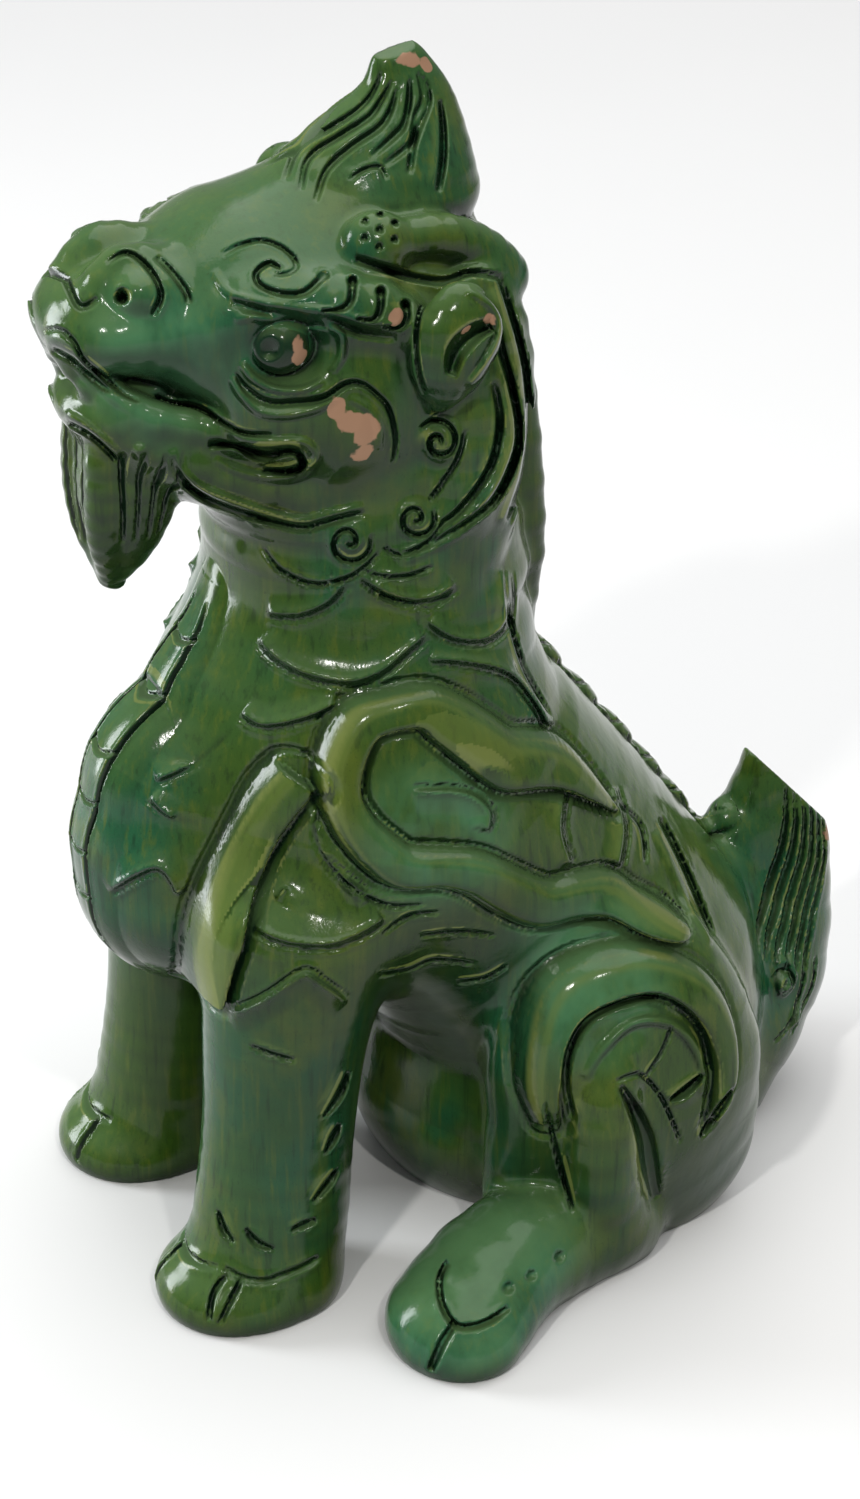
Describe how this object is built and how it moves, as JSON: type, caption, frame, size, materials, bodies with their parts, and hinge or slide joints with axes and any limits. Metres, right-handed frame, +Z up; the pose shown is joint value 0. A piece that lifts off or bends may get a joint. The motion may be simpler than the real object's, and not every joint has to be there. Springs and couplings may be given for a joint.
{
  "type": "foo dog statue",
  "caption": "Seated guardian lion statue in glazed earthenware, head raised, with flame crest, curled mane, scaled body and upright tail.",
  "frame": {"origin": "middle of the footprint's bounding box, on the ground the statue stands on", "axes": "+Z up from the ground to the crest; the animal faces -Y; +X is its own left side"},
  "size_m": [0.3358, 0.3726, 0.5305],
  "materials": {
    "body_glaze": "glossy lead glaze over fired earthenware, mottled mid to dark green",
    "relief_glaze": "glossy lead glaze, thinner and more yellow-green on raised clay",
    "dark_glaze": "glossy lead glaze pooled thick and nearly black",
    "worn_glaze": "thin worn glaze with pale buff clay showing"
  },
  "bodies": {
    "root": {"trunk": "body_glaze", "neck": "body_glaze", "skull": "body_glaze", "lower_jaw": "body_glaze", "tongue": "dark_glaze", "upper_teeth": "worn_glaze", "beard": "body_glaze", "nose": "body_glaze", "left_eye": "dark_glaze", "right_eye": "dark_glaze", "left_brow": "relief_glaze", "right_brow": "relief_glaze", "left_ear": "relief_glaze", "right_ear": "relief_glaze", "crest": "body_glaze", "left_horn": "relief_glaze", "right_horn": "relief_glaze", "left_mane_band": "body_glaze", "right_mane_band": "body_glaze", "nape_mane": "body_glaze", "left_cheek_curls": "relief_glaze", "right_cheek_curls": "relief_glaze", "chest_plates": "relief_glaze", "spine_plates": "relief_glaze", "left_shoulder_flame": "relief_glaze", "right_shoulder_flame": "relief_glaze", "left_front_leg": "body_glaze", "right_front_leg": "body_glaze", "left_front_paw": "body_glaze", "right_front_paw": "body_glaze", "left_haunch": "body_glaze", "right_haunch": "body_glaze", "left_haunch_ring": "relief_glaze", "right_haunch_ring": "relief_glaze", "left_shank": "body_glaze", "right_shank": "body_glaze", "left_hind_foot": "body_glaze", "right_hind_foot": "body_glaze", "tail": "body_glaze", "tail_curls": "relief_glaze"}
  },
  "joints": []
}
